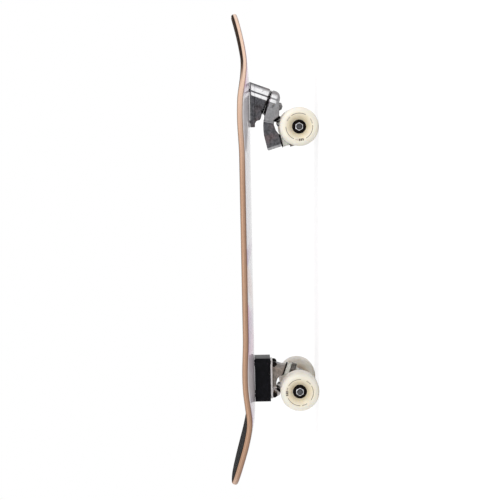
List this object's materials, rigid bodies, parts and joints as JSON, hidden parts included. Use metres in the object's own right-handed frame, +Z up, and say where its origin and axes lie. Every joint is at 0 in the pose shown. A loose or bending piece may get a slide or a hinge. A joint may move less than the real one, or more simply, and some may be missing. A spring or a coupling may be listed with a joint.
{
  "type": "surfskate",
  "caption": "Short wide carving skateboard with kicked ends, a sprung swinging front truck, a raised rear truck and soft cream wheels.",
  "frame": {"origin": "centre of the board's bounding box, on the floor that the wheels stand on", "axes": "+X towards the nose, +Y to the rider's left when facing the nose, +Z up"},
  "size_m": [0.812, 0.25, 0.1505],
  "materials": {
    "maple": "pressed maple plies, clear lacquer edge, painted underside",
    "grip": "coarse black abrasive sheet",
    "front_casting": "dark polished cast aluminium",
    "rear_casting": "satin cast aluminium",
    "hanger_metal": "polished cast aluminium",
    "steel": "zinc plated steel",
    "bright_steel": "bright plated steel",
    "black_steel": "black oxide steel",
    "bronze": "plain sintered bronze",
    "black_plastic": "moulded black plastic",
    "urethane": "smooth cream urethane",
    "bushing": "pale greenish translucent urethane"
  },
  "bodies": {
    "board": {"deck": "maple", "grip_tape": "grip", "front_base_housing": "front_casting", "pivot_bolt": "steel", "pivot_nut": "bright_steel", "torsion_spring": "steel", "dust_seal": "black_plastic", "front_bolt_1": "black_steel", "front_bolt_2": "black_steel", "front_bolt_3": "black_steel", "front_bolt_4": "black_steel", "rear_riser": "black_plastic", "rear_base_plate": "rear_casting", "rear_bolt_1": "black_steel", "rear_bolt_2": "black_steel", "rear_bolt_3": "black_steel", "rear_bolt_4": "black_steel", "rear_kingpin": "steel", "rear_kingpin_nut": "steel", "rear_board_bushing": "bushing", "rear_board_washer": "black_steel", "rear_road_bushing": "bushing", "rear_road_washer": "steel", "rear_pivot_cup": "black_plastic"},
    "front_arm": {"front_swing_arm": "front_casting", "pivot_sleeve": "bronze", "thrust_bearing": "steel", "front_kingpin": "steel", "front_kingpin_nut": "steel", "front_board_bushing": "bushing", "front_board_washer": "black_steel", "front_road_bushing": "bushing", "front_road_washer": "steel", "front_pivot_cup": "black_plastic"},
    "front_axle_set": {"front_hanger": "hanger_metal", "front_axle": "steel", "front_left_spacer": "steel", "front_right_spacer": "steel", "front_left_axle_nut": "bright_steel", "front_right_axle_nut": "bright_steel"},
    "rear_axle_set": {"rear_hanger": "hanger_metal", "rear_axle": "steel", "rear_left_spacer": "steel", "rear_right_spacer": "steel", "rear_left_axle_nut": "bright_steel", "rear_right_axle_nut": "bright_steel"},
    "front_left_wheel_set": {"front_left_wheel": "urethane", "front_left_inner_bearing": "black_steel", "front_left_outer_bearing": "black_steel"},
    "front_right_wheel_set": {"front_right_wheel": "urethane", "front_right_inner_bearing": "black_steel", "front_right_outer_bearing": "black_steel"},
    "rear_left_wheel_set": {"rear_left_wheel": "urethane", "rear_left_inner_bearing": "black_steel", "rear_left_outer_bearing": "black_steel"},
    "rear_right_wheel_set": {"rear_right_wheel": "urethane", "rear_right_inner_bearing": "black_steel", "rear_right_outer_bearing": "black_steel"}
  },
  "joints": [
    {"name": "front_swing", "type": "hinge", "parent": "board", "child": "front_arm", "pos_m": [0.25474, 0, 0.0845], "axis": [0.3367, 0, 0.9416], "range_deg": [-30, 30], "stiffness_Nm_per_rad": 18},
    {"name": "front_lean", "type": "hinge", "parent": "front_arm", "child": "front_axle_set", "pos_m": [0.19361, 0, 0.04465], "axis": [0.82, 0, 0.5723], "range_deg": [-12, 12], "stiffness_Nm_per_rad": 40, "deforming": ["front_board_bushing", "front_road_bushing"]},
    {"name": "rear_lean", "type": "hinge", "parent": "board", "child": "rear_axle_set", "pos_m": [-0.21092, 0, 0.0433], "axis": [-0.7798, 0, 0.6261], "range_deg": [-12, 12], "stiffness_Nm_per_rad": 40, "deforming": ["rear_board_bushing", "rear_road_bushing"]},
    {"name": "front_left_spin", "type": "hinge", "parent": "front_axle_set", "child": "front_left_wheel_set", "pos_m": [0.21338, 0.0869, 0.0325], "axis": [0, 1, 0], "continuous": true},
    {"name": "front_right_spin", "type": "hinge", "parent": "front_axle_set", "child": "front_right_wheel_set", "pos_m": [0.21338, -0.0869, 0.0325], "axis": [0, 1, 0], "continuous": true},
    {"name": "rear_left_spin", "type": "hinge", "parent": "rear_axle_set", "child": "rear_left_wheel_set", "pos_m": [-0.23146, 0.0869, 0.0325], "axis": [0, 1, 0], "continuous": true},
    {"name": "rear_right_spin", "type": "hinge", "parent": "rear_axle_set", "child": "rear_right_wheel_set", "pos_m": [-0.23146, -0.0869, 0.0325], "axis": [0, 1, 0], "continuous": true}
  ]
}
